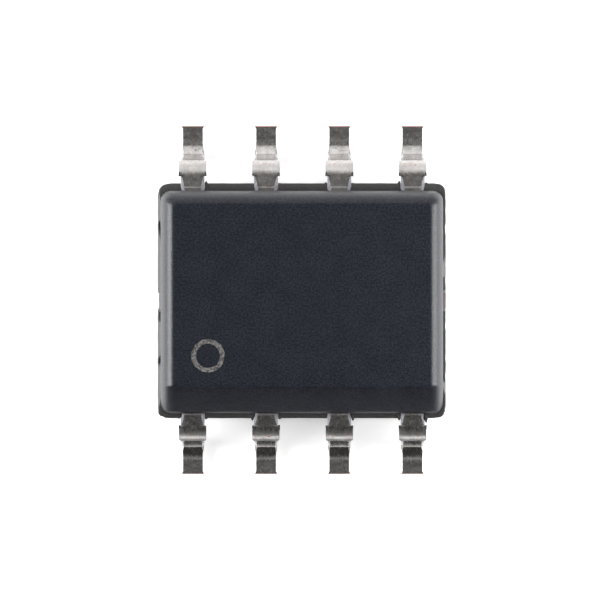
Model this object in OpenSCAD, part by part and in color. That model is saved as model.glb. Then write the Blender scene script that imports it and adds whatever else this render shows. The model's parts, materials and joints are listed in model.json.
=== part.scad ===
// Small-outline surface-mount package with gull-wing leads on two sides.
// Millimetres. The origin is the centre of the package on the board: the seating plane is z = 0,
// +Z is up, the leads stand along the +Y and -Y sides, and pin 1 is the lead at -X -Y.

/* [Moulded body] */
// Length of the moulded body along X, at its widest
body_l = 4.90; // [4.75:0.01:5.2]
// Width of the moulded body along Y, at its widest
body_w = 3.86; // [3.75:0.01:3.95]
// Height of the top face above the board
body_top = 1.60; // [1.5:0.01:1.8]
// Air gap between the board and the underside of the body
standoff = 0.15; // [0.1:0.01:0.25]
// How far each side leans in between the lead plane and the top or the underside
draft_run = 0.08; // [0.05:0.01:0.2]
// Radius of the edges round the top face and the underside
edge_r = 0.20; // [0.1:0.01:0.24]
// Radius of the body's upright corners in the lead plane
corner_r = 0.19; // [0.1:0.01:0.3]
// Radius of the same corners at the top face and the underside
corner_top_r = 0.06; // [0.02:0.01:0.1]
// How far the 45 degree bevel along the pin 1 side cuts into the top face
pin1_bevel = 0.38; // [0.2:0.01:0.45]
// How far the resin flash stands out between the leads
flash_y = 0.105; // [0.05:0.005:0.13]
// How far the resin flash stands out at the ends
flash_x = 0.045; // [0.03:0.005:0.1]
// Radius of the flash's corners
flash_r = 0.12; // [0.05:0.01:0.2]

/* [Pin 1 mark] */
// Outer diameter of the ring marked in the top face
mark_d = 0.59; // [0.3:0.01:0.8]
// Width of the ring's line
mark_line = 0.083; // [0.05:0.001:0.12]
// Depth of the ring's line
mark_depth = 0.02; // [0.01:0.005:0.05]
// Distance from the body's end to the middle of the ring
mark_end = 0.82; // [0.7:0.01:1.2]
// Distance from the body's pin 1 side to the middle of the ring
mark_side = 0.975; // [0.9:0.005:1.3]

/* [Leads] */
// Distance between neighbouring leads
pitch = 1.27; // [1.22:0.01:1.3]
// Distance over the tips of opposite leads
lead_span = 6.05; // [5.95:0.01:6.3]
// Thickness of the sheet that the lead frame is stamped from
sheet_t = 0.20; // [0.15:0.01:0.22]
// Height of the underside of a lead's shoulder above the board
shoulder_z = 0.775; // [0.7:0.005:0.85]
// Length of the flat top of a foot
foot_l = 0.33; // [0.25:0.01:0.42]
// Width of a foot
foot_w = 0.334; // [0.28:0.002:0.38]
// Width that the cut tip of a foot is spread to
tip_w = 0.385; // [0.34:0.005:0.42]
// Length over which the tip spreads
tip_l = 0.035; // [0.02:0.005:0.06]
// Width of a lead just below the stub of its dam bar
shank_w = 0.39; // [0.35:0.005:0.42]
// Width of a lead at the stubs of its dam bar
dambar_w = 0.47; // [0.42:0.005:0.52]
// How far the stub of the dam bar reaches past the upper bend towards the body
dambar_lead = 0.03; // [0:0.01:0.05]
// How far the stub of the dam bar ends short of the slope
dambar_trail = 0.02; // [0.01:0.005:0.05]
// Length of the step where the stub of the dam bar ends
dambar_step = 0.015; // [0.005:0.005:0.02]
// Width of a lead where it leaves the body
neck_w = 0.385; // [0.34:0.005:0.42]
// Slope of a lead between its two bends, in degrees from the board
lead_slope = 81; // [70:1:86]
// Inside radius of a lead's upper bend
knee_r = 0.07; // [0.04:0.01:0.1]
// Inside radius of the lower bend where it leaves the foot
heel_r = 0.33; // [0.25:0.01:0.38]
// How far the lower bend turns on that radius, in degrees
heel_turn = 27; // [20:1:32]
// Inside radius of the rest of the lower bend
crease_r = 0.05; // [0.03:0.01:0.08]

/* [Lead frame inside the body] */
// Length of the pad under the die
pad_l = 2.40; // [2.1:0.05:2.5]
// Width of the pad under the die
pad_w = 1.70; // [1.5:0.05:1.8]
// How far the pad is set down below the plane of the leads
pad_drop = 0.15; // [0.08:0.01:0.22]
// Gap between the pad and the inner ends of the leads
frame_gap = 0.20; // [0.12:0.01:0.24]
// Depth in the body at which a lead has widened to its inner end
waist_depth = 0.33; // [0.2:0.01:0.4]
// Width of a lead's inner end
inner_w = 0.55; // [0.45:0.01:0.62]
// Distance from the body's centre line to the inner end of a corner lead
corner_y = 0.50; // [0.35:0.01:0.55]
// How far the bend of a corner lead starts past the inner ends of the other leads
corner_step = 0.07; // [0.02:0.01:0.15]
// How far the bend of a corner lead ends past the inner ends of the other leads
corner_neck = 0.30; // [0.2:0.01:0.33]
// Width of the bars that tie the pad to the ends of the body
tie_w = 0.28; // [0.2:0.01:0.4]
// Length over which a tie bar runs level with the pad
tie_flat = 0.08; // [0.05:0.01:0.15]
// Length over which a tie bar climbs from the pad to the lead plane
tie_climb = 0.20; // [0.15:0.01:0.3]
// How far the cut end of a tie bar lies back from the flash
tie_short = 0.018; // [0.01:0.002:0.03]

/* [Die and bond wires] */
// Length of the die
die_l = 1.15; // [0.9:0.01:1.6]
// Width of the die
die_w = 1.00; // [0.8:0.01:1.3]
// Thickness of the die
die_t = 0.28; // [0.2:0.01:0.3]
// Thickness of the glue under the die
glue_t = 0.025; // [0.015:0.005:0.04]
// How far the glue is squeezed out round the die
glue_rim = 0.03; // [0.01:0.01:0.05]
// Diameter of a bond wire
wire_d = 0.025; // [0.02:0.001:0.035]
// Diameter of the ball that holds a wire on the die
ball_d = 0.07; // [0.055:0.005:0.08]
// Height of the ball
ball_h = 0.02; // [0.015:0.001:0.03]
// Distance from the die's edge to the middle of a ball
ball_inset = 0.09; // [0.06:0.01:0.15]
// How high a wire's guide point stands over its ball
loop_h = 0.20; // [0.12:0.01:0.24]
// Distance from a lead's inner end to the middle of its stitch
stitch_inset = 0.14; // [0.1:0.01:0.25]
// Distance from the die's middle to the balls of the inner leads, along X
inner_ball_x = 0.22; // [0.15:0.01:0.28]
// Distance from the die's middle to the balls of the corner leads, along Y
corner_ball_y = 0.25; // [0.15:0.01:0.28]
// How far a wire's second guide point lies below the first
loop_sag = 0.04; // [0.02:0.01:0.06]

/* [Hidden] */
PINS = 8;
SIDE_PINS = PINS / 2;

// Heights
shoulder_top = shoulder_z + sheet_t;
pad_z = shoulder_z - pad_drop;
pad_top = pad_z + sheet_t;
glue_top = pad_top + glue_t;
die_top = glue_top + die_t;

// Bends of a lead, as [distance from the body's centre line, height]
tip_y = lead_span / 2;
heel_y = tip_y - foot_l;
heel = [heel_y, sheet_t + heel_r];
crease = heel + (heel_r - crease_r) * unit(270 - heel_turn);
slope_foot = crease + crease_r * unit(270 - lead_slope);
knee_z = shoulder_z - knee_r;
slope_head_z = knee_z + (knee_r + sheet_t) * cos(lead_slope);
slope_head_y = slope_foot[0] - (slope_head_z - slope_foot[1]) / tan(lead_slope);
knee = [slope_head_y - (knee_r + sheet_t) * sin(lead_slope), knee_z];

// Stations of a lead's outline, as distances from the body's centre line
flash_edge_y = body_w / 2 + flash_y;
dambar_y = max(knee[0] - dambar_lead, flash_edge_y + 0.01);
dambar_end_y = slope_head_y - dambar_trail;
waist_y = body_w / 2 - waist_depth;
inner_end_y = pad_w / 2 + frame_gap;

// Inner end of a corner lead, which reaches past the end of the pad
corner_x = pad_l / 2 + frame_gap;
corner_neck_y = inner_end_y + corner_neck;
corner_step_y = inner_end_y + corner_step;

// Tie bars
tie_mitre = sheet_t * tan(atan2(pad_drop, tie_climb) / 2);
tie_end_x = body_l / 2 + flash_x - tie_short;

// Bond wires: the balls' places on the die, in its +X +Y quarter
inner_ball = [inner_ball_x, die_w / 2 - ball_inset];
corner_ball = [die_l / 2 - ball_inset, corner_ball_y];
inner_stitch = [pitch / 2, inner_end_y + stitch_inset];
corner_stitch = [corner_x + stitch_inset, corner_y + stitch_inset];
// Where a wire's second guide point stands along its run, and how much a stitch is spread
loop_reach = 0.5;
stitch_spread = 2;

// Facets of a wire, a bend, a corner and an edge
wire_sides = 8;
wire_steps = 16;
bend_steps = 8;
corner_steps = 8;
edge_steps = 6;

// Thickness of the slices that a hull is drawn over, and how far a cut overshoots
film = 0.001;
cut = 1;

// Lead i's place: 1 to 4 along -Y from -X to +X, 5 to 8 along +Y and back
function side(i) = i <= SIDE_PINS ? -1 : 1;
function pin_x(i) = (i <= SIDE_PINS ? i - (SIDE_PINS + 1) / 2 : (3 * SIDE_PINS + 1) / 2 - i) * pitch;
function is_corner(i) = abs(pin_x(i)) > pitch;

// Points of an arc, both ends included
function arc(centre, r, from, to) =
    [for (k = [0 : bend_steps]) centre + r * unit(from + (to - from) * k / bend_steps)];
function unit(angle) = [cos(angle), sin(angle)];

module at_quarter(i) {
    mirror([pin_x(i) < 0 ? 1 : 0, 0, 0]) mirror([0, side(i) < 0 ? 1 : 0, 0]) children();
}

// Points of a rectangle with round corners
function rounded_rect(l, w, r) = [
    for (q = [0 : 3], k = [0 : corner_steps])
    let (x = q == 0 || q == 3 ? 1 : -1, y = q < 2 ? 1 : -1)
    [x * (l / 2 - r), y * (w / 2 - r)] + r * unit(90 * (q + k / corner_steps))
];

// ---- Moulded body ----

// The side of half a body that rises by h and ends in a round edge, as [inset, height]
function side_levels(h) =
    let (
        lean = atan2(draft_run, h),
        inset = edge_r / cos(lean) + (h - edge_r) * tan(lean)
    )
    concat(
        [[0, 0]],
        [
            for (k = [0 : edge_steps])
            let (a = lean + (90 - lean) * k / edge_steps)
            [inset - edge_r * cos(a), h - edge_r + edge_r * sin(a)]
        ]
    );

// Half of the body: its widest face lies at z = 0 and its sides lean in as it rises by h
module drafted_half(h) {
    levels = side_levels(h);
    full = levels[len(levels) - 1][0];
    hull() {
        for (level = levels) {
            inset = level[0];
            l = body_l - 2 * inset;
            w = body_w - 2 * inset;
            r = corner_r + (corner_top_r - corner_r) * inset / full;
            translate([0, 0, max(level[1] - film, 0)]) {
                linear_extrude(height = film) polygon(rounded_rect(l, w, r));
            }
        }
    }
}

module flash() {
    translate([0, 0, shoulder_z]) {
        linear_extrude(height = sheet_t) {
            polygon(rounded_rect(body_l + 2 * flash_x, body_w + 2 * flash_y, flash_r));
        }
    }
}

module bevel_cut() {
    top_edge_y = -(body_w / 2 - draft_run);
    translate([0, top_edge_y + pin1_bevel, body_top]) {
        rotate([45, 0, 0]) translate([-body_l, -cut, 0]) cube([2 * body_l, 2 * cut, cut]);
    }
}

module mark_groove() {
    translate([mark_end - body_l / 2, mark_side - body_w / 2, body_top - mark_depth]) {
        difference() {
            cylinder(d = mark_d, h = cut, $fn = 48);
            translate([0, 0, -cut / 2]) cylinder(d = mark_d - 2 * mark_line, h = 2 * cut, $fn = 48);
        }
    }
}

// The room past the cut end of a tie bar
module tie_recess() {
    translate([tie_end_x - cut / 2, -tie_w / 2, shoulder_z]) cube([cut, tie_w, sheet_t]);
}

module mold_body() {
    color([0.17, 0.18, 0.20]) difference() {
        union() {
            translate([0, 0, shoulder_top]) drafted_half(body_top - shoulder_top);
            flash();
            translate([0, 0, shoulder_z]) mirror([0, 0, 1]) drafted_half(shoulder_z - standoff);
        }
        bevel_cut();
        mark_groove();
        tie_recess();
        mirror([1, 0, 0]) tie_recess();
        for (i = [1 : PINS]) lead(i);
        die_pad();
        die_attach();
        die();
        for (i = [1 : PINS]) bond_wire(i);
    }
}

// ---- Leads ----

// Side view of a lead, as [distance from the centre line, height]
module lead_profile() {
    polygon(concat(
        [[0, shoulder_top]],
        arc(knee, knee_r + sheet_t, 90, 90 - lead_slope),
        arc(crease, crease_r, 270 - lead_slope, 270 - heel_turn),
        arc(heel, heel_r, 270 - heel_turn, 270),
        [[tip_y, sheet_t], [tip_y, 0]],
        arc(heel, heel_r + sheet_t, 270, 270 - heel_turn),
        arc(crease, crease_r + sheet_t, 270 - heel_turn, 270 - lead_slope),
        arc(knee, knee_r, 90 - lead_slope, 90),
        [[0, shoulder_z]]
    ));
}

// One edge of a lead from the body outwards, as [half width, distance from the centre line]
strip_edge = [
    [inner_w / 2, waist_y],
    [neck_w / 2, body_w / 2],
    [neck_w / 2, flash_edge_y],
    [dambar_w / 2, dambar_y],
    [dambar_w / 2, dambar_end_y],
    [shank_w / 2, dambar_end_y + dambar_step],
    [foot_w / 2, heel_y],
    [foot_w / 2, tip_y - tip_l],
    [tip_w / 2, tip_y]
];

// The inner end of a lead, from its near edge to its outer edge
function inner_end(near_x, outer_x, corner) =
    corner
    ? [[near_x, corner_neck_y], [corner_x, corner_step_y], [corner_x, corner_y], [outer_x, corner_y]]
    : [[near_x, inner_end_y], [outer_x, inner_end_y]];

// A lead seen from above, in the +X +Y quarter
module lead_outline(x, corner) {
    polygon(concat(
        [for (p = strip_edge) [x + p[0], p[1]]],
        [for (k = [len(strip_edge) - 1 : -1 : 0]) [x - strip_edge[k][0], strip_edge[k][1]]],
        inner_end(x - inner_w / 2, x + inner_w / 2, corner)
    ));
}

module lead(i) {
    x = abs(pin_x(i));
    color([0.66, 0.65, 0.64]) at_quarter(i) intersection() {
        linear_extrude(height = body_top) lead_outline(x, is_corner(i));
        rotate([90, 0, 90]) linear_extrude(height = body_l) lead_profile();
    }
}

// ---- Die pad, glue and die ----

// Side view of a tie bar, as [distance along X, height]
module tie_profile() {
    foot_x = pad_l / 2 + tie_flat;
    head_x = foot_x + tie_climb;
    polygon([
        [0, pad_z], [foot_x, pad_z], [head_x, shoulder_z], [tie_end_x, shoulder_z],
        [tie_end_x, shoulder_top], [head_x - tie_mitre, shoulder_top], [foot_x - tie_mitre, pad_top],
        [0, pad_top]
    ]);
}

module tie_bar() {
    rotate([90, 0, 0]) linear_extrude(height = tie_w, center = true) tie_profile();
}

module die_pad() {
    color([0.72, 0.45, 0.30]) {
        translate([-pad_l / 2, -pad_w / 2, pad_z]) cube([pad_l, pad_w, sheet_t]);
        tie_bar();
        mirror([1, 0, 0]) tie_bar();
    }
}

module die_attach() {
    glue_l = die_l + 2 * glue_rim;
    glue_w = die_w + 2 * glue_rim;
    color([0.62, 0.62, 0.60]) {
        translate([-glue_l / 2, -glue_w / 2, pad_top]) cube([glue_l, glue_w, glue_t]);
    }
}

module die() {
    color([0.30, 0.32, 0.36]) {
        translate([-die_l / 2, -die_w / 2, glue_top]) cube([die_l, die_w, die_t]);
    }
}

// ---- Bond wires ----

// A wire's middle line in its own upright plane, as [distance from the ball, height], for t from 0 to 1
function wire_guides(run) = [
    [0, die_top + ball_h], [0, die_top + ball_h + loop_h],
    [loop_reach * run, die_top + ball_h + loop_h - loop_sag], [run, shoulder_top]
];
function bezier(p, t) =
    pow(1 - t, 3) * p[0] + 3 * t * pow(1 - t, 2) * p[1] + 3 * t * t * (1 - t) * p[2] + pow(t, 3) * p[3];
function bezier_angle(p, t) =
    let (d = pow(1 - t, 2) * (p[1] - p[0]) + 2 * t * (1 - t) * (p[2] - p[1]) + t * t * (p[3] - p[2]))
    atan2(d[1], d[0]);

// Outline of a ball from the die up, as [share of its height, share of its diameter]
ball_outline = [[0, 0.84], [0.4, 1], [0.8, 0.72]];

// Rings along a wire from the die to the lead, each as [distance, height, direction of the wire, radius]
function wire_rings(run) = concat(
    [for (p = ball_outline) [0, die_top + p[0] * ball_h, 90, p[1] * ball_d / 2]],
    [
        for (k = [0 : wire_steps - 1])
        let (t = k / wire_steps, p = bezier(wire_guides(run), t))
        [p[0], p[1], bezier_angle(wire_guides(run), t), wire_d / 2]
    ],
    [[run, shoulder_top, -90, stitch_spread * wire_d / 2]]
);

// The points of one ring, in the wire's upright plane along +X
function ring_points(ring) = [
    for (s = [0 : wire_sides - 1])
    let (a = 360 * (s + 0.5) / wire_sides, along = ring[3] * cos(a))
    [ring[0] + along * sin(ring[2]), ring[3] * sin(a), ring[1] - along * cos(ring[2])]
];

module wire_tube(run) {
    rings = wire_rings(run);
    last = len(rings) - 1;
    polyhedron(
        points = [for (ring = rings) each ring_points(ring)],
        faces = concat(
            [[for (s = [0 : wire_sides - 1]) s]],
            [
                for (k = [0 : last - 1], s = [0 : wire_sides - 1])
                let (n = (s + 1) % wire_sides, a = k * wire_sides, b = a + wire_sides)
                [a + s, b + s, b + n, a + n]
            ],
            [[for (s = [wire_sides - 1 : -1 : 0]) last * wire_sides + s]]
        )
    );
}

module bond_wire(i) {
    ball = is_corner(i) ? corner_ball : inner_ball;
    stitch = is_corner(i) ? corner_stitch : inner_stitch;
    reach = stitch - ball;
    color([0.85, 0.55, 0.35]) at_quarter(i) {
        translate([ball[0], ball[1], 0]) rotate([0, 0, atan2(reach[1], reach[0])]) wire_tube(norm(reach));
    }
}

mold_body();
for (i = [1 : PINS]) lead(i);
die_pad();
die_attach();
die();
for (i = [1 : PINS]) bond_wire(i);
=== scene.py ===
"""The looks of an eight-lead small-outline package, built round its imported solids.

Sizes are in millimetres and are the solids' own; MM turns them into the scene's metres.
"""

import json
import math

import bmesh
import bpy
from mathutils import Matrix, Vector, noise
from mathutils.geometry import delaunay_2d_cdt

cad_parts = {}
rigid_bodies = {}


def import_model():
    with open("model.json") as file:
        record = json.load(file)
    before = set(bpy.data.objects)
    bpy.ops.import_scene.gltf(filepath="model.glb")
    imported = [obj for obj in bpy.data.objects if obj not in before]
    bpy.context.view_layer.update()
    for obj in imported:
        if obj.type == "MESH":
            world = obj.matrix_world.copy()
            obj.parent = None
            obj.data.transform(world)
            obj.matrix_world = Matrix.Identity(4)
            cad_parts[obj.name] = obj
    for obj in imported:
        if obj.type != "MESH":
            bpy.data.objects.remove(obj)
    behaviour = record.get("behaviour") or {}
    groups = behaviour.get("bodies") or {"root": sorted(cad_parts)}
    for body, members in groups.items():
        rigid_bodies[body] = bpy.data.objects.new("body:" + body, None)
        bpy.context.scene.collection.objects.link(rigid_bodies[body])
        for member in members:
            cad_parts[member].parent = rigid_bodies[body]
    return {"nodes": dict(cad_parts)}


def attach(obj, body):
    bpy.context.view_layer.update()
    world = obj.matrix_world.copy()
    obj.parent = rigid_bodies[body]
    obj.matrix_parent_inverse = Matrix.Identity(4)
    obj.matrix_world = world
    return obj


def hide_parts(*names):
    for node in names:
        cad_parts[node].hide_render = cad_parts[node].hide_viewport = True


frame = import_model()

MM = 0.001
SEED = 7

# Moulded body: a hardly drafted wall all round, an elliptical edge and a flat top
BODY_L = 4.90
BODY_W = 3.86
BODY_TOP = 1.60
STANDOFF = 0.15
DRAFT_RUN = 0.006
EDGE_RUN = 0.25
EDGE_DROP = 0.37
SIDE_RUN = DRAFT_RUN + EDGE_RUN
CORNER_R = 0.19
CORNER_TOP_R = 0.06
# No rim's corner is tighter than this
CORNER_MIN_R = 0.02
END_X = BODY_L / 2
SIDE_Y = BODY_W / 2
# How far inside the body's outline the flat top is filled in as one sheet
TOP_INSET = 0.50

# Bevel along the pin 1 side: its top edge, its slope there, and how much it steepens per millimetre
BEVEL_TOP_Y = -1.478
BEVEL_SLOPE = 0.84
BEVEL_BOW = 0.38
# The rounding at the bevel's foot: where it starts, how far it runs and how far it drops
BEVEL_ROUND_Y = -1.897
BEVEL_ROUND_RUN = 0.056
BEVEL_ROUND_DROP = 0.09
# The share of that run at which it stops, short of standing upright
BEVEL_ROUND_END = 0.995
# How softly the bevel meets the sides
BEVEL_BLEND = 0.03

# Flash in the plane of the leads, a little thinner than their sheet
FLASH_X = 0.045
FLASH_Y = 0.105
FLASH_R = 0.12
FLASH_SINK = 0.012
# Rims round the flash's lower edge: how far in each lies, and how far up
FLASH_LOW_EDGE = [(0.008, 0), (0, 0.01)]
# Rims round its top edge: how far in each lies, how far down, and how much of the wear it takes
FLASH_TOP_EDGE = [(0, 0.02, 1.0), (0.006, 0.005, 0.8), (0.018, 0, 0.5)]
# How far the flash's edge wanders, and how far it is ragged at the -X and the +X end
FLASH_WAVE = 0.003
RAGGED = (0.006, 0.012)
# How deep the ends are worn to a slope, and how readily: more is worn at -X than at +X
WEAR_DEPTH = 0.15
WEAR_BIAS = (0.28, -0.30)
# How far the flash's top lies lower along the +Y side
BACK_DROP = 0.012
# Beside a lead, by distance from its middle: the flash is cut back up to the first and whole from the
# second, but for a sliver left on the body
CUT_BACK = (0.2054, 0.2086)
CUT_LEFT = 0.004
# There a crumb of it rises and falls again
CRUMB_RISE = (0.208, 0.222)
CRUMB_FALL = (0.246, 0.262)
CRUMB_REACH = 0.09
# Each corner, by whether it lies at +X and at +Y: how far it is broken back, how much more in places,
# and the grain and the seed of that
CHIPS = {
    (True, True): (0.02, 0, 1, 0),
    (False, True): (0.035, 0, 1, 0),
    (False, False): (0.012, 0.03, 11, 5.0),
    (True, False): (0.02, 0.05, 16, 9.0),
}
CHIP_R = 0.22
# How far the top half of the casting sits off the bottom half, towards pin 1
MISMATCH = 0.02
# How far the casting sits off the lead frame's middle, towards -X
OFFSET_X = 0.017
# How much shorter the top half is, all of it at the -X end
TOP_SHORT = 0.008

# Pin 1 ring
MARK_D = 0.575
MARK_LINE = 0.080
MARK_DEPTH = 0.012
MARK_X = 0.829 - END_X
MARK_Y = 0.992 - SIDE_Y
MARK_STEPS = 96
# How far its groove's walls lean, and how far its floor sags
GROOVE_RUN = 0.006
GROOVE_SAG = 0.004

# Leads, seen from the side as (distance from the centre line, height). The knee is the centre of the
# upper bend, the crease and the heel those of the lower bend's underside, which is tight and then wide.
PITCH = 1.27
LEAD_MIDDLES = [k * PITCH / 2 for k in (-3, -1, 1, 3)]
SPAN = 6.05
SHEET = 0.20
SHOULDER = 0.775
SHOULDER_LEAN = 0.045
SLOPE = 79.5
KNEE = (2.177, 0.705)
KNEE_R = 0.07
CREASE = (2.5641, 0.2627)
CREASE_R = 0.23
HEEL = (2.7003, 0.53)
HEEL_R = 0.53
# The lean at which the crease turns into the heel, in degrees
HEEL_TURN = 27
TIP_Y = SPAN / 2
TIP_SLANT = 0.016
DAM_BAR_END = 2.42
LOW_EDGE_R = 0.018

# Tie bars: their width, and how far their ends stay back from the flash's edge
TIE_W = 0.28
TIE_SHORT = 0.022

# How many steps the body's rims have round a corner, along a long side and along a short one
CORNER_STEPS = 14
LONG_STEPS = 120
SHORT_STEPS = 130
# How many of a short side's steps lie next to the bevel, and the share of the side where they end
BEVEL_STEPS = 44
BEVEL_SHARE = -0.72
# How many steps the rounded edge has, of which the lower half takes every third, and the flat top
EDGE_STEPS = 26
LOW_EDGE_STRIDE = 3
TOP_STEPS = 14
# Distances from a lead's middle at which the flash's edge turns
GAP_STEPS = (CUT_BACK[0] - 0.0002, CUT_BACK[1] + 0.0002, CRUMB_RISE[1], 0.232) + CRUMB_FALL
# What delaunay_2d_cdt calls its triangles inside the given edges, and the distance it takes for none
CDT_INSIDE = 1
CDT_NEAR = 1e-7

# Studio: a light table that glows by itself, and a camera far above. Lengths are in metres, the lens
# is in millimetres and the tilt in degrees.
FLOOR_GLOW = 0.65
FLOOR_R = 0.9
FLOOR_DROP = 0.000003
CARD_RISE = 0.00001
CAMERA_LENS = 1037
CAMERA_DISTANCE = 0.3
CAMERA_TILT = 0.9
CAMERA_TARGET = (-0.046 * MM, 0.0, 0.1 * MM)


# ---- Small helpers ----


def unit(degrees):
    """The point at an angle on a circle of radius 1."""
    return math.cos(math.radians(degrees)), math.sin(math.radians(degrees))


def along(centre, radius, degrees):
    """The point at an angle on a circle."""
    x, y = unit(degrees)
    return centre[0] + radius * x, centre[1] + radius * y


def steps(start, end, count):
    """count + 1 even values from start to end."""
    return [start + (end - start) * k / count for k in range(count + 1)]


def table_value(table, x):
    """The value at x of a table of (x, value), straight between its rows."""
    if x <= table[0][0]:
        return table[0][1]
    for (x0, v0), (x1, v1) in zip(table, table[1:]):
        if x <= x1:
            return v0 + (v1 - v0) * (x - x0) / (x1 - x0)
    return table[-1][1]


def smooth_step(low, high, x):
    """0 at low and before, 1 at high and past it, and an S-curve between; low may be the larger."""
    t = min(max((x - low) / (high - low), 0), 1)
    return t * t * (3 - 2 * t)


def wander(x, y, z=0.0):
    """Smooth noise from -1 to 1 at a place in millimetres over a cell size of 1."""
    return noise.noise(Vector((x, y, z + SEED)))


def new_piece(name, points, faces, slots, face_slots=None, sharp=40):
    """A mesh object from points in millimetres, smooth but for edges sharper than sharp degrees."""
    mesh = bpy.data.meshes.new(name)
    mesh.from_pydata([(x * MM, y * MM, z * MM) for x, y, z in points], [], faces)
    for material in slots:
        mesh.materials.append(material)
    mesh.update()
    bm = bmesh.new()
    bm.from_mesh(mesh)
    bmesh.ops.recalc_face_normals(bm, faces=bm.faces)
    bm.to_mesh(mesh)
    bm.free()
    if face_slots:
        mesh.polygons.foreach_set("material_index", face_slots)
    mesh.polygons.foreach_set("use_smooth", [True] * len(mesh.polygons))
    mesh.set_sharp_from_angle(angle=math.radians(sharp))
    return new_object(name, mesh)


def new_object(name, data):
    piece = bpy.data.objects.new(name, data)
    bpy.context.scene.collection.objects.link(piece)
    return piece


# ---- Materials ----


class Nodes:
    """The node tree of a material or a world, with short calls for the few kinds of node used here."""

    def __init__(self, owner, shader="Principled BSDF", place="Object"):
        owner.use_nodes = True
        self.owner = owner
        self.tree = owner.node_tree
        self.shader = self.tree.nodes[shader]
        self.place = self.add("ShaderNodeTexCoord").outputs[place]

    def add(self, kind, **settings):
        node = self.tree.nodes.new(kind)
        for key, value in settings.items():
            setattr(node, key, value)
        return node

    def link(self, output, target):
        self.tree.links.new(output, target)

    def feed(self, value, target):
        """Sets a socket, or links an output to it."""
        if isinstance(value, bpy.types.NodeSocket):
            self.link(value, target)
        else:
            target.default_value = value

    def noise(self, scale, detail=2.0, roughness=0.5, place=None):
        node = self.add("ShaderNodeTexNoise")
        node.inputs["Scale"].default_value = scale
        node.inputs["Detail"].default_value = detail
        node.inputs["Roughness"].default_value = roughness
        self.link(place or self.place, node.inputs["Vector"])
        return node.outputs["Fac"]

    def cells(self, scale, feature="F1"):
        node = self.add("ShaderNodeTexVoronoi", feature=feature)
        node.inputs["Scale"].default_value = scale
        self.link(self.place, node.inputs["Vector"])
        return node.outputs["Distance"]

    def stretch(self, x, y, z):
        node = self.add("ShaderNodeMapping")
        node.inputs["Scale"].default_value = (x, y, z)
        self.link(self.place, node.inputs["Vector"])
        return node.outputs["Vector"]

    def math(self, operation, a, b=0.0):
        node = self.add("ShaderNodeMath", operation=operation)
        self.feed(a, node.inputs[0])
        self.feed(b, node.inputs[1])
        return node.outputs[0]

    def remap(self, value, low, high, out_low=0.0, out_high=1.0):
        node = self.add("ShaderNodeMapRange")
        limits = {"From Min": low, "From Max": high, "To Min": out_low, "To Max": out_high}
        for key, limit in limits.items():
            node.inputs[key].default_value = limit
        self.link(value, node.inputs["Value"])
        return node.outputs["Result"]

    def band(self, value, low, high, soft):
        """1 between two limits in millimetres, 0 outside them, over a soft edge."""
        rise = self.remap(value, (low - soft) * MM, (low + soft) * MM)
        fall = self.remap(value, (high - soft) * MM, (high + soft) * MM, 1.0, 0.0)
        return self.math("MULTIPLY", rise, fall)

    def near(self, value, middle, reach):
        """1 within some reach of a middle, both in millimetres, and 0 elsewhere."""
        node = self.add("ShaderNodeMath", operation="COMPARE")
        self.link(value, node.inputs[0])
        node.inputs[1].default_value = middle * MM
        node.inputs[2].default_value = reach * MM
        return node.outputs[0]

    def mix(self, share, a, b):
        """The colour a where share is 0, and b where it is 1."""
        node = self.add("ShaderNodeMix", data_type="RGBA")
        self.feed(share, node.inputs["Factor"])
        self.feed(a, node.inputs[6])
        self.feed(b, node.inputs[7])
        return node.outputs[2]

    def axis(self, name):
        node = self.add("ShaderNodeSeparateXYZ")
        self.link(self.place, node.inputs["Vector"])
        return node.outputs[name]

    def bump(self, height, distance, strength=1.0, below=None):
        node = self.add("ShaderNodeBump")
        node.inputs["Distance"].default_value = distance
        node.inputs["Strength"].default_value = strength
        self.link(height, node.inputs["Height"])
        if below is not None:
            self.link(below, node.inputs["Normal"])
        return node.outputs["Normal"]

    def set(self, **sockets):
        for key, value in sockets.items():
            self.feed(value, self.shader.inputs[key.replace("_", " ")])
        return self.owner


def material_nodes(name):
    return Nodes(bpy.data.materials.new(name))


def compound_material():
    """Black moulding compound with the fine grain of a spark-eroded mould, paler in the flash."""
    n = material_nodes("mold_compound")
    grain = n.noise(42000, 3.0, 0.6)
    cloud = n.noise(2500, 2.0)
    dark = n.mix(n.remap(cloud, 0.35, 0.65), (0.0048, 0.0064, 0.0110, 1), (0.0070, 0.0090, 0.0145, 1))
    pale = n.mix(n.remap(cloud, 0.35, 0.65), (0.0175, 0.0205, 0.0300, 1), (0.0210, 0.0245, 0.0345, 1))
    base = n.mix(n.remap(n.noise(30000, 2.0, 0.7), 0.40, 0.60), dark, pale)
    speck = n.remap(n.noise(60000, 1.0), 0.66, 0.74)
    colour = n.mix(speck, base, (0.035, 0.036, 0.040, 1))
    flash = n.near(n.axis("Z"), SHOULDER + SHEET / 2, SHEET / 2 + 0.004)
    crumb = n.mix(n.remap(grain, 0.35, 0.65), (0.036, 0.035, 0.036, 1), (0.058, 0.055, 0.055, 1))
    colour = n.mix(flash, colour, crumb)
    # The flat top is matter and mirrors less; its colour is paled a little as painted sheen, standing in
    # for the reflection it no longer mirrors
    top = n.remap(n.axis("Z"), (BODY_TOP - 0.010) * MM, (BODY_TOP - 0.001) * MM)
    colour = n.mix(n.math("MULTIPLY", top, 0.0057), colour, (1, 1, 1, 1))
    relief = n.bump(grain, 3.6e-6)
    relief = n.bump(n.noise(14000, 2.0), 3.0e-6, 0.6, relief)
    rough = n.remap(grain, 0.3, 0.7, 0.33, 0.42)
    return n.set(
        Base_Color=colour,
        Roughness=n.math("ADD", rough, n.math("MULTIPLY", top, 0.24)),
        Specular_IOR_Level=n.remap(top, 0.0, 1.0, 0.5, 0.06),
        IOR=1.52,
        Normal=relief,
    )


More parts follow.
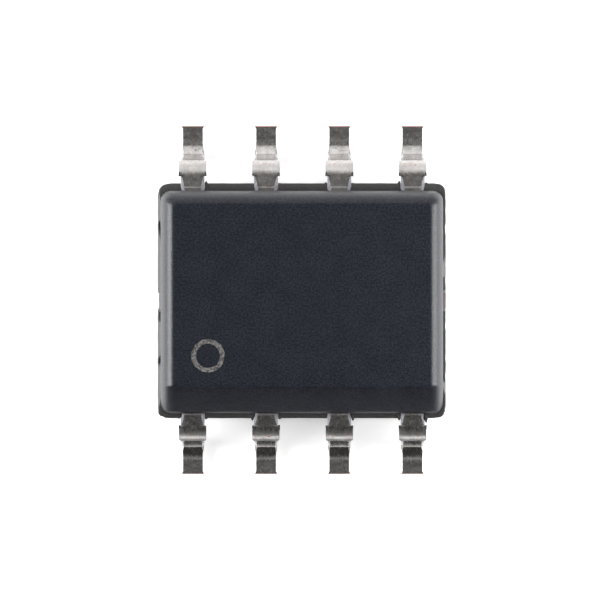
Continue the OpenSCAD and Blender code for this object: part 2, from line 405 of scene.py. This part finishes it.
def mark_material():
    """The laser's line: compound burnt lighter, in overlapping beads."""
    n = material_nodes("laser_mark")
    bead = n.remap(n.noise(26000, 2.0, 0.6), 0.34, 0.62)
    colour = n.mix(bead, (0.035, 0.036, 0.038, 1), (0.225, 0.217, 0.207, 1))
    return n.set(Base_Color=colour, Roughness=0.8, Normal=n.bump(bead, 4.0e-6))


# Where the tools rubbed the plating: from, to (distance from the centre line), how softly, and the
# roughness added
ROUGH_BANDS = [(1.954, 1.980, 0.006, 0.20), (2.24, 2.36, 0.05, 0.17), (2.70, 2.79, 0.02, 0.07)]


def plating_material():
    """Satin plating on the leads, with soft smears, fine pits, painted shade down the +Y leads' upper
    bend, and a few scrapes down to the copper along the bends."""
    n = material_nodes("lead_plating")
    smear = n.noise(7000, 3.0, 0.6)
    blotch = n.noise(16000, 3.0, 0.65)
    fine = n.noise(30000, 2.0, 0.5, n.stretch(1.0, 0.4, 1.0))
    colour = n.mix(n.remap(smear, 0.35, 0.65), (0.50, 0.485, 0.475, 1), (0.66, 0.64, 0.625, 1))
    colour = n.mix(n.remap(blotch, 0.60, 0.72), colour, (0.36, 0.34, 0.33, 1))
    # Painted shade: the upper bend of the +Y leads alone is darkened
    painted_knee_shade = n.math("MULTIPLY", n.band(n.axis("Y"), 2.30, 2.47, 0.02), 0.4)
    colour = n.mix(painted_knee_shade, colour, (0.38, 0.365, 0.355, 1))
    reach = n.math("ABSOLUTE", n.axis("Y"))
    bend = n.near(reach, 2.345, 0.03)
    scrape = n.math("MULTIPLY", bend, n.remap(n.noise(24000, 1.0), 0.66, 0.70))
    colour = n.mix(scrape, colour, (0.50, 0.22, 0.15, 1))
    rough = n.remap(fine, 0.3, 0.7, 0.16, 0.28)
    for low, high, soft, extra in ROUGH_BANDS:
        more = n.math("MULTIPLY", n.band(reach, low, high, soft), extra)
        rough = n.math("ADD", rough, more)
    relief = n.bump(fine, 1.2e-6)
    relief = n.bump(smear, 1.0e-5, 0.6, relief)
    relief = n.bump(blotch, 2.5e-6, 0.6, relief)
    return n.set(Base_Color=colour, Metallic=1.0, Roughness=rough, Normal=relief)


def edge_material():
    """The sheared sides of the leads: the same plating, duller and rougher."""
    n = material_nodes("plated_edge")
    streak = n.noise(12000, 3.0, 0.6, n.stretch(1.0, 1.0, 0.3))
    colour = n.mix(n.remap(streak, 0.35, 0.65), (0.30, 0.29, 0.29, 1), (0.46, 0.45, 0.445, 1))
    return n.set(
        Base_Color=colour,
        Metallic=1.0,
        Roughness=n.remap(streak, 0.3, 0.7, 0.3, 0.42),
        Normal=n.bump(streak, 3.0e-6),
    )


def copper_material(name, light, dark, rough):
    """Bare copper alloy with a drawn or sheared grain."""
    n = material_nodes(name)
    streak = n.noise(20000, 3.0, 0.6, n.stretch(1.0, 1.0, 0.15))
    colour = n.mix(n.remap(streak, 0.3, 0.7), dark, light)
    return n.set(
        Base_Color=colour,
        Metallic=1.0,
        Roughness=n.remap(streak, 0.3, 0.7, rough, rough + 0.15),
        Normal=n.bump(streak, 1.5e-6),
    )


def burr_material():
    """The leads' top edges near the body, dulled by a film of resin."""
    n = material_nodes("resin_bleed")
    patch = n.noise(15000, 3.0, 0.6)
    return n.set(
        Base_Color=n.mix(n.remap(patch, 0.35, 0.65), (0.23, 0.23, 0.26, 1), (0.38, 0.38, 0.41, 1)),
        Metallic=0.2,
        Roughness=0.55,
        Normal=n.bump(patch, 3.0e-6),
    )


def pad_material():
    """Copper; the cut ends of the tie bars are dull grey, with scrapes down to the copper at +X."""
    n = material_nodes("pad_copper")
    streak = n.noise(20000, 3.0, 0.6, n.stretch(0.15, 1.0, 1.0))
    copper = n.mix(n.remap(streak, 0.3, 0.7), (0.62, 0.34, 0.24, 1), (0.86, 0.50, 0.36, 1))
    x = n.axis("X")
    end = n.remap(n.math("ABSOLUTE", x), 2.37 * MM, 2.39 * MM)
    scrape = n.remap(n.noise(34000, 1.0), 0.52, 0.58)
    east = n.mix(scrape, (0.24, 0.235, 0.26, 1), (0.42, 0.20, 0.14, 1))
    dull = n.mix(n.remap(x, -1.0 * MM, 1.0 * MM), (0.36, 0.36, 0.39, 1), east)
    return n.set(
        Base_Color=n.mix(end, copper, dull),
        Metallic=n.math("SUBTRACT", 1.0, end),
        Roughness=n.remap(streak, 0.3, 0.7, 0.35, 0.5),
        Normal=n.bump(streak, 1.5e-6),
    )


def glue_material():
    """Silver-filled epoxy: dull grey with bright flakes."""
    n = material_nodes("die_glue")
    flake = n.remap(n.cells(60000), 0.15, 0.45)
    colour = n.mix(flake, (0.75, 0.74, 0.71, 1), (0.36, 0.35, 0.34, 1))
    return n.set(Base_Color=colour, Metallic=0.6, Roughness=0.45, Normal=n.bump(flake, 2.0e-6))


def silicon_material():
    """Dark silicon with blocks of circuits, which show as cells of a slightly different colour."""
    n = material_nodes("silicon")
    block = n.remap(n.cells(9000), 0.1, 0.5)
    lines = n.remap(n.noise(45000, 1.0, 0.5, n.stretch(1.0, 0.1, 1.0)), 0.45, 0.55)
    colour = n.mix(block, (0.10, 0.12, 0.16, 1), (0.20, 0.17, 0.22, 1))
    colour = n.mix(n.math("MULTIPLY", lines, 0.3), colour, (0.34, 0.33, 0.30, 1))
    return n.set(Base_Color=colour, Metallic=0.35, Roughness=n.remap(block, 0.0, 1.0, 0.15, 0.3))


def floor_material():
    """A light table, its glow dimmed close in front of the package and a little behind it: a painted
    shadow of the package.
    """
    n = material_nodes("studio_floor")
    tone = n.remap(n.noise(40, 2.0), 0.3, 0.7)
    x = n.math("ABSOLUTE", n.axis("X"))
    y = n.axis("Y")
    # Painted shadow: the glow is cut most in the middle in front, less towards the ends, a little behind,
    # and not past the ends
    middle = n.remap(x, 0.1 * MM, 1.0 * MM, 0.36, 0.24)
    front = n.math("MULTIPLY", n.remap(y, -2.44 * MM, -2.04 * MM), n.remap(y, 0.0, 1.0 * MM, 1.0, 0.0))
    beside = n.remap(x, 2.0 * MM, 2.5 * MM, 1.0, 0.0)
    shade = n.math("MULTIPLY", n.math("MULTIPLY", front, middle), beside)
    back = n.math("MULTIPLY", n.band(y, 2.0, 2.1, 0.12), 0.07)
    glow = n.math("SUBTRACT", FLOOR_GLOW, n.math("ADD", shade, n.math("MULTIPLY", back, beside)))
    return n.set(
        Base_Color=n.mix(tone, (0.86, 0.86, 0.86, 1), (0.88, 0.88, 0.88, 1)),
        Roughness=0.9,
        Specular_IOR_Level=0.0,
        Emission_Color=(1.0, 1.0, 1.0, 1.0),
        Emission_Strength=glow,
    )


# ---- Moulded body ----


def edge_drop(inset):
    """How far the rounded edge lies below the face it leads to, at an inset from a side's foot."""
    across = min(max((SIDE_RUN - inset) / EDGE_RUN, 0.0), 1.0)
    return EDGE_DROP * (1 - math.sqrt(1 - across * across))


def side_height(inset, rise):
    """Height of a side above its foot at an inset from it: a hardly drafted wall, then the edge."""
    if inset <= DRAFT_RUN:
        return (rise - EDGE_DROP) * inset / DRAFT_RUN
    return rise - edge_drop(inset)


def long_places():
    """Shares of a long side from -1 to 1, closer together where the flash turns beside the leads. The
    two long sides run in opposite directions, so each turn is there with both signs."""
    half = END_X + FLASH_X - FLASH_R
    middles = [middle + OFFSET_X for middle in LEAD_MIDDLES]
    turns = [(m + hand * gap) / half for m in middles for gap in GAP_STEPS for hand in (-1, 1)]
    return sorted(steps(-1, 1, LONG_STEPS)[1:-1] + turns + [-t for t in turns])


def short_places():
    """Shares of a short side from -1 at its -Y end to 1, closer together where the bevel crosses it."""
    bevel = steps(-1, BEVEL_SHARE, BEVEL_STEPS)[1:]
    return bevel + steps(BEVEL_SHARE, 1, SHORT_STEPS - BEVEL_STEPS)[1:-1]


LONG_PLACES = long_places()
SHORT_PLACES = short_places()


def rim(half_l, half_w, radius):
    """Points of a rounded rectangle, anticlockwise from the +X +Y corner. All rims have as many."""
    end_x = half_l - radius
    end_y = half_w - radius
    points = []
    corners = [(1, 1, 0), (-1, 1, 90), (-1, -1, 180), (1, -1, 270)]
    sides = [
        [(-end_x * share, half_w) for share in LONG_PLACES],
        [(-half_l, end_y * share) for share in reversed(SHORT_PLACES)],
        [(end_x * share, -half_w) for share in LONG_PLACES],
        [(half_l, end_y * share) for share in SHORT_PLACES],
    ]
    for (sx, sy, start), side in zip(corners, sides):
        for k in range(CORNER_STEPS + 1):
            x, y = unit(start + 90 * k / CORNER_STEPS)
            points.append((sx * end_x + radius * x, sy * end_y + radius * y))
        points.extend(side)
    return points


def inset_rim(inset):
    """A rim of the body's side, whose corners tighten towards the top."""
    radius = CORNER_R + (CORNER_TOP_R - CORNER_R) * inset / SIDE_RUN
    return rim(END_X - inset, SIDE_Y - inset, max(CORNER_MIN_R, radius))


def soft_min(a, b, reach):
    """The lower of two heights, rounded where they meet."""
    h = max(reach - abs(a - b), 0.0) / reach
    return min(a, b) - h * h * reach / 4


def top_height(inset, x, y, rise):
    """Height of the upper half at a place: the side, cut by the bevel with its rounded edges."""
    wall = BODY_TOP - rise + side_height(inset, rise)
    out = BEVEL_TOP_Y - y
    bevel = BODY_TOP - BEVEL_SLOPE * out - BEVEL_BOW * out * abs(out)
    past = min(max((BEVEL_ROUND_Y - y) / BEVEL_ROUND_RUN, 0.0), BEVEL_ROUND_END)
    bevel -= BEVEL_ROUND_DROP * (1 - math.sqrt(1 - past * past))
    return soft_min(wall, bevel - edge_drop(END_X - abs(x)), BEVEL_BLEND)


def outward(x, y):
    """The direction out of the body at a place on the flash's edge, turning at the corners."""
    across = math.copysign(1, x) * smooth_step(END_X - 0.15, END_X + 0.02, abs(x))
    up = math.copysign(1, y) * smooth_step(SIDE_Y - 0.08, SIDE_Y + 0.07, abs(y))
    return Vector((across, up)).normalized()


def flash_rim(shrink):
    """The flash's edge, broken here and there as it is on the real casting."""
    points = []
    for x, y in rim(END_X + FLASH_X, SIDE_Y + FLASH_Y, FLASH_R):
        end = smooth_step(END_X - 0.05, END_X + 0.02, abs(x))
        ragged = end * max(0.0, wander(7 * x, 7 * y, 3.0)) * RAGGED[x > 0]
        tie = end * (1 - smooth_step(TIE_W / 2 - 0.02, TIE_W / 2 + 0.02, abs(y)))
        depth = FLASH_WAVE * wander(4 * x, 4 * y) + max(ragged, tie * TIE_SHORT)
        depth += corner_chip(x, y) + lead_gap(x, y) + shrink
        direction = outward(x, y)
        points.append((x - direction.x * depth, y - direction.y * depth))
    return points


def flash_drop(x, y):
    """How far the flash's edge lies below its root: worn to a slope in places at the ends, and
    a little lower all along the +Y side."""
    end = smooth_step(END_X - 0.09, END_X - 0.01, abs(x))
    end *= smooth_step(SIDE_Y - 0.07, SIDE_Y - 0.17, abs(y))
    worn = smooth_step(-0.12, 0.10, wander(1.9 * x, 3.1 * y, 1.0) + WEAR_BIAS[x > 0])
    tie = 1 - smooth_step(TIE_W / 2 + 0.01, TIE_W / 2 + 0.04, abs(y))
    back = smooth_step(SIDE_Y - 0.03, SIDE_Y + 0.09, y)
    return end * max(worn, tie) * WEAR_DEPTH + back * BACK_DROP


def lead_gap(x, y):
    """How far the flash is cut back where a lead comes out; crumbs of it stand on beside the lead."""
    if abs(y) < SIDE_Y - 0.03:
        return 0.0
    near = min(abs(x - OFFSET_X - middle) for middle in LEAD_MIDDLES)
    gap = (1 - smooth_step(*CUT_BACK, near)) * (FLASH_Y - CUT_LEFT)
    crumb = smooth_step(*CRUMB_RISE, near) * (1 - smooth_step(*CRUMB_FALL, near))
    return gap - crumb * max(0.0, 0.25 + wander(3 * x, 3 * y, 4.0)) * CRUMB_REACH


def corner_chip(x, y):
    """How far the flash is broken back at each of the body's corners."""
    depth, more, grain, seed = CHIPS[x > 0, y > 0]
    away = math.hypot(abs(x) - END_X - 0.01, abs(y) - SIDE_Y - 0.07)
    jagged = max(0.0, wander(grain * x, grain * y, seed))
    return (1 - smooth_step(0, CHIP_R, away)) * (depth + more * jagged)


def lower_rims(edge):
    """Rims of the lower half, from the underside up."""
    rise = SHOULDER - STANDOFF
    rims = []
    for inset in [SIDE_RUN] + edge[::LOW_EDGE_STRIDE][::-1] + [0]:
        height = SHOULDER - side_height(inset, rise)
        rims.append([(x, y, height) for x, y in inset_rim(inset)])
    return rims


def flash_rims(low, high):
    """Rims of the flash, from its root's underside out, up and in again."""
    rims = [[(x, y, low) for x, y in inset_rim(0)]]
    for shrink, above in FLASH_LOW_EDGE:
        rims.append([(x, y, low + above) for x, y in flash_rim(shrink)])
    for shrink, below, wear in FLASH_TOP_EDGE:
        rims.append([(x, y, high - below - wear * flash_drop(x, y)) for x, y in flash_rim(shrink)])
    return rims


def upper_rims(edge, foot):
    """Rims of the upper half from its foot on the flash, a little off the lower half as it was cast."""
    rise = BODY_TOP - SHOULDER - SHEET
    rims = []
    for inset in [0] + edge + steps(SIDE_RUN, TOP_INSET, TOP_STEPS)[1:]:
        loop = []
        for x, y in inset_rim(inset):
            height = top_height(inset, x, y - MISMATCH, rise) if inset > 0 else foot
            far = TOP_SHORT * (1 - x / END_X) / 2
            loop.append((x + far, y - MISMATCH, max(height, foot)))
        rims.append(loop)
    return rims


def body_rims():
    """Every rim of the body as a list of points, from the underside up to the top face."""
    edge = [SIDE_RUN - EDGE_RUN * unit(a)[0] for a in steps(0, 90, EDGE_STEPS)]
    low = SHOULDER + FLASH_SINK
    high = SHOULDER + SHEET - FLASH_SINK
    rims = lower_rims(edge) + flash_rims(low, high) + upper_rims(edge, high)
    return [[(x - OFFSET_X, y, z) for x, y, z in loop] for loop in rims]


def circle(radius, waver):
    """Points round the pin 1 mark, with an unsteady radius."""
    points = []
    for k in range(MARK_STEPS):
        x, y = unit(360 * k / MARK_STEPS)
        r = radius + waver * wander(x * 6, y * 6, radius * 40)
        points.append((MARK_X - OFFSET_X + r * x, MARK_Y + r * y))
    return points


def loop_edges(first, count):
    return [(first + k, first + (k + 1) % count) for k in range(count)]


def band_faces(lower, upper):
    """Faces between two loops of as many point numbers."""
    pairs = list(zip(lower, upper))
    return [(a, c, d, b) for (a, b), (c, d) in zip(pairs, pairs[1:] + pairs[:1])]


def flat_sheet(last_rim):
    """Points and faces of the flat top inside the last rim, with the pin 1 ring's disc left out, and
    the point numbers of the rim and of the disc's edge."""
    disc = circle(MARK_D / 2, 0.009)
    count = len(last_rim)
    flat = [Vector((x, y)) for x, y, z in last_rim] + [Vector(p) for p in disc]
    edges = loop_edges(0, count) + loop_edges(count, len(disc))
    found = delaunay_2d_cdt(flat, edges, [], CDT_INSIDE, CDT_NEAR)
    points = [(v.x, v.y, BODY_TOP) for v in found[0]]
    index = {source: new for new, sources in enumerate(found[3]) for source in sources}
    rim_index = [index[k] for k in range(count)]
    disc_index = [index[count + k] for k in range(len(disc))]
    on_disc = set(disc_index)
    faces = [tuple(face) for face in found[2] if not on_disc.issuperset(face)]
    return points, faces, rim_index, disc_index


def ring_levels():
    """Loops of the pin 1 ring's shallow groove, from its outer edge to its inner one."""
    low = BODY_TOP - MARK_DEPTH
    outer = MARK_D / 2
    inner = outer - MARK_LINE
    return [
        [(x, y, low) for x, y in circle(outer - GROOVE_RUN, 0.006)],
        [(x, y, low - GROOVE_SAG) for x, y in circle(outer - MARK_LINE / 2, 0.004)],
        [(x, y, low) for x, y in circle(inner + GROOVE_RUN, 0.006)],
        [(x, y, BODY_TOP) for x, y in circle(inner, 0.007)],
    ]


def top_face(last_rim):
    """Points, faces and face slots of the flat top with its ring, and the rim's point numbers."""
    points, faces, rim_index, previous = flat_sheet(last_rim)
    marks = [0] * len(faces)
    for level in ring_levels():
        current = list(range(len(points), len(points) + len(level)))
        points += level
        faces += band_faces(previous, current)
        marks += [1] * len(level)
        previous = current
    faces.append(tuple(previous))
    marks.append(0)
    return points, faces, marks, rim_index


def build_body(compound, mark):
    rims = body_rims()
    count = len(rims[0])
    points = [p for loop in rims for p in loop]
    loops = [range(k * count, (k + 1) * count) for k in range(len(rims))]
    faces = []
    for lower, upper in zip(loops, loops[1:]):
        faces += band_faces(lower, upper)
    faces.append(tuple(range(count)))
    marks = [0] * len(faces)
    top_points, top_faces, top_marks, rim_index = top_face(rims[-1])
    renumber = dict(zip(rim_index, loops[-1]))
    for k, point in enumerate(top_points):
        if k not in renumber:
            renumber[k] = len(points)
            points.append(point)
    faces += [tuple(renumber[k] for k in face) for face in top_faces]
    return new_piece("molded_body", points, faces, [compound, mark], marks + top_marks, sharp=34)


# ---- Leads ----

# Half width of a lead, by distance from the body's centre line
HALF_WIDTH = [
    (1.60, 0.1925), (1.91, 0.2030), (2.155, 0.2080), (2.165, 0.2360), (2.26, 0.2390),
    (2.4235, 0.2350), (2.4435, 0.2060), (2.52, 0.2020), (2.60, 0.1930), (2.68, 0.1760),
    (2.72, 0.1725), (2.975, 0.1725), (3.007, 0.1925),
]
# How far in a lead's top edges lie from its sides, by distance
SIDE_SLOPE = [
    (1.93, 0.062), (2.06, 0.047), (2.15, 0.018), (2.165, 0.006), (2.42, 0.006), (2.4435, 0.044),
    (2.55, 0.040), (2.64, 0.012), (2.70, 0.002), (3.012, 0.002),
]
# How far down their chamfers start, as a share of that: up to the dam bar's stub, and after it
STUB_FALL = 0.25
FREE_FALL = 1.2
# Height of a foot's top over its plane: the dent that the forming tool leaves next to the bend
FOOT_RELIEF = [(2.695, 0.0), (2.72, -0.003), (2.735, -0.003), (2.765, 0.001), (2.80, 0.0)]
# How much of that dent the leads along -Y and along +Y have
FRONT_RELIEF = 0.8
BACK_RELIEF = 0.1
# How steeply a lead's lower bend leans, in degrees, by distance: its top has a tight crease under the
# slope and then the hollow that the forming tool left, and its underside is round
TOP_LEAN = [(2.533, SLOPE), (2.549, 25), (2.555, 20), (2.62, 17), (2.665, 15), (2.70, 0)]
UNDER_LEAN = [(2.533, SLOPE), (2.549, 40), (2.62, 25), (2.70, 0)]
# Where a lead's sections stand: distances along the shoulder, shares of the slope, distances on the
# foot, and the steps of the lower bend as (from, to, how many)
SHOULDER_PLACES = (1.55, 1.75, 1.90, 1.93, 1.98, 2.04, 2.10, 2.148, 2.152, 2.156, 2.160, 2.166)
SLOPE_PLACES = (0.012, 0.03, 0.1, 0.3, 0.6, 0.9)
FOOT_PLACES = (2.71, 2.72, 2.735, 2.75, 2.765, 2.78, 2.82, 2.90, 2.975, 2.985, 2.992, 3.000)
BEND_PLACES = ((2.70, 2.66, 5), (2.66, 2.555, 4), (2.555, 2.533, 9))
KNEE_STEPS = 16
# How unevenly a lead's sides run
RIPPLE = 0.0025
# Which faces round a section, counted from its top left edge, are its chamfers and its sheared sides
CHAMFERS = (0, 6)
SHEARED = (7, 14)
# The leads' material slots
PLATED_SLOT, CUT_SLOT, SHEARED_SLOT, RESIN_SLOT, FILM_SLOT = range(5)
# Corners of a box's faces, with 0 to 3 round its bottom and 4 to 7 above them
BOX_FACES = [(0, 1, 2, 3), (4, 5, 6, 7), (0, 1, 5, 4), (1, 2, 6, 5), (2, 3, 7, 6), (3, 0, 4, 7)]
CRUMB_DEPTH = 0.13


def underside(lean):
    """The outside of the lower bend, where it leans by some degrees."""
    if lean >= HEEL_TURN:
        return along(CREASE, CREASE_R, 270 - lean)
    return along(HEEL, HEEL_R, 270 - lean)


def lower_bend():
    """Sections of a lead's lower bend from the slope to the foot, the top's height summed from its
    lean."""
    y, height = TOP_LEAN[-1][0], SHEET
    sections = [(underside(0), (y, height))]
    places = [near for stretch in BEND_PLACES for near in steps(*stretch)[1:]]
    for near in places:
        lean = table_value(TOP_LEAN, (y + near) / 2)
        height += (y - near) * math.tan(math.radians(lean))
        y = near
        sections.append((underside(table_value(UNDER_LEAN, y)), (y, height)))
    return sections[::-1]


def shoulder_fall(y):
    """How far the top of a formed lead's shoulder has come down, at a distance."""
    return SHOULDER_LEAN * max(0.0, y - SIDE_Y)


def upper_bend():
    """Sections of a lead's upper bend, where the shoulder's fall is taken back bit by bit."""
    sections = []
    for a in steps(90, 90 - SLOPE, KNEE_STEPS):
        y, z = along(KNEE, KNEE_R + SHEET, a)
        fall = shoulder_fall(y) * (1 - (90 - a) / SLOPE)
        sections.append((along(KNEE, KNEE_R, a), (y, z - fall)))
    return sections


def between_sections(first, last, share):
    """The section at a share of the way from one section to another."""
    return tuple(tuple(a + (b - a) * share for a, b in zip(p, q)) for p, q in zip(first, last))


def lead_sections(relief):
    """Sections of a lead from inside the body to its tip, as (underside, top), each (distance, height)."""
    top = SHOULDER + SHEET
    sections = [((y, SHOULDER), (y, top - shoulder_fall(y))) for y in SHOULDER_PLACES]
    upper = upper_bend()
    lower = lower_bend()
    slope = [between_sections(upper[-1], lower[0], share) for share in SLOPE_PLACES]
    sections += upper + slope + lower
    for y in FOOT_PLACES:
        sections.append(((max(y, HEEL[0]), 0.0), (y, SHEET + relief * table_value(FOOT_RELIEF, y))))
    sections.append(((TIP_Y, 0.0), (TIP_Y - TIP_SLANT, SHEET)))
    return sections


def section_outline(half, slope, drop):
    """Points round one section of a lead, as (across, up), starting at the foot of its left chamfer."""
    top = half - slope
    left = [(-half, SHEET - drop), (-top, SHEET)]
    middle = [(top * share, SHEET) for share in (-0.6, -0.2, 0.2, 0.6)]
    r = LOW_EDGE_R
    cut = 0.29 * r
    low = [(-half + r, 0), (-half + cut, cut), (-half, r)]
    right = [(-u, v) for u, v in reversed(left)]
    low_right = [(-u, v) for u, v in reversed(low)]
    return left + middle + right + low_right + [(0.0, 0.0)] + low


def crumb_points(number, hand):
    """Corners of the crumb of resin left in the corner where the dam bar was cut off."""
    w = wander(2.3 * number, 3.1 * hand, 6.0)
    near = 0.208
    far = 0.243 + 0.008 * w
    low = 2.156 - 0.012 * w
    high = 2.222 + 0.03 * w
    top = SHOULDER + SHEET + 0.002
    ends = [(near, low + 0.008), (far, low), (far - 0.006, high), (near + 0.004, high - 0.012)]
    lower = [(u, v, top - CRUMB_DEPTH) for u, v in ends]
    return lower + [(u, v, top - shoulder_fall(v)) for u, v in ends]


def section_points(number, low, high):
    """Points round one section of a lead, as (across, distance, height)."""
    y = high[0]
    slope = table_value(SIDE_SLOPE, y)
    drop = slope * (STUB_FALL if y < DAM_BAR_END else FREE_FALL)
    points = []
    for across, up in section_outline(table_value(HALF_WIDTH, y), slope, drop):
        t = up / SHEET
        across += RIPPLE * wander(9 * y + number, 3 * t, 2.0 * number)
        points.append((across, low[0] + (high[0] - low[0]) * t, low[1] + (high[1] - low[1]) * t))
    return points


def round_slots(count, near_body):
    """The material slots of the faces round a lead, between two of its sections."""
    slots = [PLATED_SLOT] * count
    for k in SHEARED:
        slots[k] = SHEARED_SLOT
    for k in CHAMFERS:
        slots[k] = FILM_SLOT if near_body else PLATED_SLOT
    return slots


def build_lead(number, slots):
    """Lead 1 to 4 stand along -Y from -X to +X, 5 to 8 along +Y and back."""
    front = number <= 4
    side = -1 if front else 1
    middle = LEAD_MIDDLES[number - 1 if front else 8 - number]
    relief = FRONT_RELIEF if front else BACK_RELIEF
    outlines = [section_points(number, low, high) for low, high in lead_sections(relief)]
    points = [p for outline in outlines for p in outline]
    count = len(outlines[0])
    loops = [range(k * count, (k + 1) * count) for k in range(len(outlines))]
    faces = []
    marks = []
    for a, b in zip(loops, loops[1:]):
        faces += band_faces(a, b)
        marks += round_slots(count, points[a[0]][1] < DAM_BAR_END)
    faces += [tuple(loops[0]), tuple(loops[-1])]
    marks += [PLATED_SLOT, CUT_SLOT]
    for hand in (-1, 1):
        start = len(points)
        points += [(hand * u, v, w) for u, v, w in crumb_points(number, hand)]
        faces += [tuple(start + k for k in face) for face in BOX_FACES]
        marks += [RESIN_SLOT] * len(BOX_FACES)
    placed = [(middle + across, side * y, z) for across, y, z in points]
    return new_piece(f"gull_wing_{number}", placed, faces, slots, marks, sharp=38)


# ---- Assembly ----


def dress(name, material):
    """Gives a carried-over node of the solids its material."""
    node = frame["nodes"][name]
    node.data.materials.clear()
    node.data.materials.append(material)


def build_leads(compound):
    cut = copper_material("cut_copper", (0.42, 0.21, 0.16, 1), (0.27, 0.13, 0.10, 1), 0.4)
    slots = [plating_material(), cut, edge_material(), compound, burr_material()]
    for number in range(1, 9):
        lead = build_lead(number, slots)
        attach(lead, "root")
        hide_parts(f"lead_{number}")


def dress_inside():
    dress("die_pad", pad_material())
    dress("die_attach", glue_material())
    dress("die", silicon_material())
    wire = copper_material("wire_copper", (0.90, 0.55, 0.40, 1), (0.75, 0.42, 0.30, 1), 0.2)
    for number in range(1, 9):
        dress(f"bond_wire_{number}", wire)


def build_package():
    compound = compound_material()
    body = build_body(compound, mark_material())
    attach(body, "root")
    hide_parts("mold_body")
    build_leads(compound)
    dress_inside()


# ---- Studio ----


def build_floor():
    bm = bmesh.new()
    bmesh.ops.create_circle(bm, cap_ends=True, radius=FLOOR_R, segments=96)
    mesh = bpy.data.meshes.new("studio_floor")
    bm.to_mesh(mesh)
    bm.free()
    mesh.materials.append(floor_material())
    floor = new_object("studio_floor", mesh)
    floor.location.z = -FLOOR_DROP


def build_card(name, x_range, y_range, tone, glow):
    """A card on the floor beside the package which only reflections see: a painted reflection, bright
    where it glows and dark where it does not.
    The ranges are in millimetres."""
    card = material_nodes(name).set(
        Base_Color=(tone, tone, tone, 1),
        Roughness=0.9,
        Specular_IOR_Level=0.0,
        Emission_Color=(1.0, 1.0, 1.0, 1.0),
        Emission_Strength=glow,
    )
    (x0, x1), (y0, y1) = x_range, y_range
    corners = [(x0, y0), (x1, y0), (x1, y1), (x0, y1)]
    mesh = bpy.data.meshes.new(name)
    mesh.from_pydata([(x * MM, y * MM, CARD_RISE) for x, y in corners], [], [(0, 1, 2, 3)])
    mesh.materials.append(card)
    piece = new_object(name, mesh)
    piece.visible_camera = False
    piece.visible_diffuse = False
    piece.visible_shadow = False


def build_cards():
    """Painted reflections: a dark card in front, and glowing cards at both ends."""
    build_card("dark_card", (-200, 200), (-250, -3.08), 0.36, 0.0)
    build_card("west_card", (-7.5, -3.6), (-3.4, 30), 0.5, 2.5)
    build_card("east_card", (3.5, 7.5), (-3.4, 30), 0.5, 2.1)


def direction(azimuth, elevation):
    """Azimuth 0 is +X and 90 is +Y, in degrees."""
    a, e = math.radians(azimuth), math.radians(elevation)
    return Vector((math.cos(a) * math.cos(e), math.sin(a) * math.cos(e), math.sin(e)))


def softbox(name, azimuth, elevation, width, height, distance, radiance, only=None):
    """A rectangular light facing the package, at a distance in metres. Its width and height are the
    angles it spans, in degrees. Where a collection is given, it lights that alone."""
    lamp = bpy.data.lights.new(name, "AREA")
    lamp.shape = "RECTANGLE"
    lamp.size = 2 * distance * math.tan(math.radians(width / 2))
    lamp.size_y = 2 * distance * math.tan(math.radians(height / 2))
    lamp.energy = radiance * 4 * lamp.size * lamp.size_y
    box = new_object(name, lamp)
    towards = direction(azimuth, elevation)
    box.location = towards * distance
    box.rotation_euler = towards.to_track_quat("Z", "Y").to_euler()
    box.visible_camera = False
    if only:
        box.light_linking.receiver_collection = only


def build_world():
    """A dim warm dome, darker in front, over a horizon that is brighter behind, and white ground."""
    world = bpy.data.worlds.new("studio")
    bpy.context.scene.world = world
    n = Nodes(world, "Background", "Generated")
    height = n.axis("Z")
    depth = n.axis("Y")
    dome = n.mix(n.remap(depth, -0.13, 0.01), (0.042, 0.040, 0.039, 1), (0.196, 0.190, 0.185, 1))
    horizon = n.mix(n.remap(depth, -0.5, 0.0), (0.05, 0.05, 0.05, 1), (0.4, 0.4, 0.4, 1))
    sky = n.mix(n.remap(height, 0.10, 0.25), horizon, dome)
    n.set(Color=n.mix(n.remap(height, 0.0, 0.01), (1.0, 1.0, 1.0, 1), sky))


def lead_collection():
    """The leads alone, for the lights that only metal needs."""
    metal = bpy.data.collections.new("metal")
    for piece in bpy.data.objects:
        if piece.name.startswith("gull_wing"):
            metal.objects.link(piece)
    return metal


def build_lights():
    """Each box's azimuth, elevation, width and height in degrees, its distance and its radiance."""
    metal = lead_collection()
    softbox("west_box", 180, 27, 30, 40, 0.060, 9.2)
    softbox("east_box", 0, 26, 30, 42, 0.018, 6.6)
    softbox("north_box", 90, 29, 90, 57, 0.080, 0.57)
    softbox("north_fill", 90, 38, 90, 75, 0.080, 0.26, metal)
    softbox("front_strip", 270, 9.6, 90, 18, 0.0072, 0.85, metal)


def build_camera():
    """A long lens almost straight above, standing a little towards +Y."""
    lens = bpy.data.cameras.new("camera")
    lens.lens = CAMERA_LENS
    lens.sensor_width = 36
    lens.clip_start = 0.01
    lens.clip_end = 2.0
    camera = new_object("camera", lens)
    tilt = math.radians(CAMERA_TILT)
    away = Vector((0, math.sin(tilt), math.cos(tilt)))
    camera.location = Vector(CAMERA_TARGET) + away * CAMERA_DISTANCE
    camera.rotation_euler = (-tilt, 0, 0)
    bpy.context.scene.camera = camera


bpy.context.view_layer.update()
build_camera()
build_floor()
build_cards()
build_world()
build_package()
build_lights()
bpy.context.scene.view_settings.view_transform = "Standard"
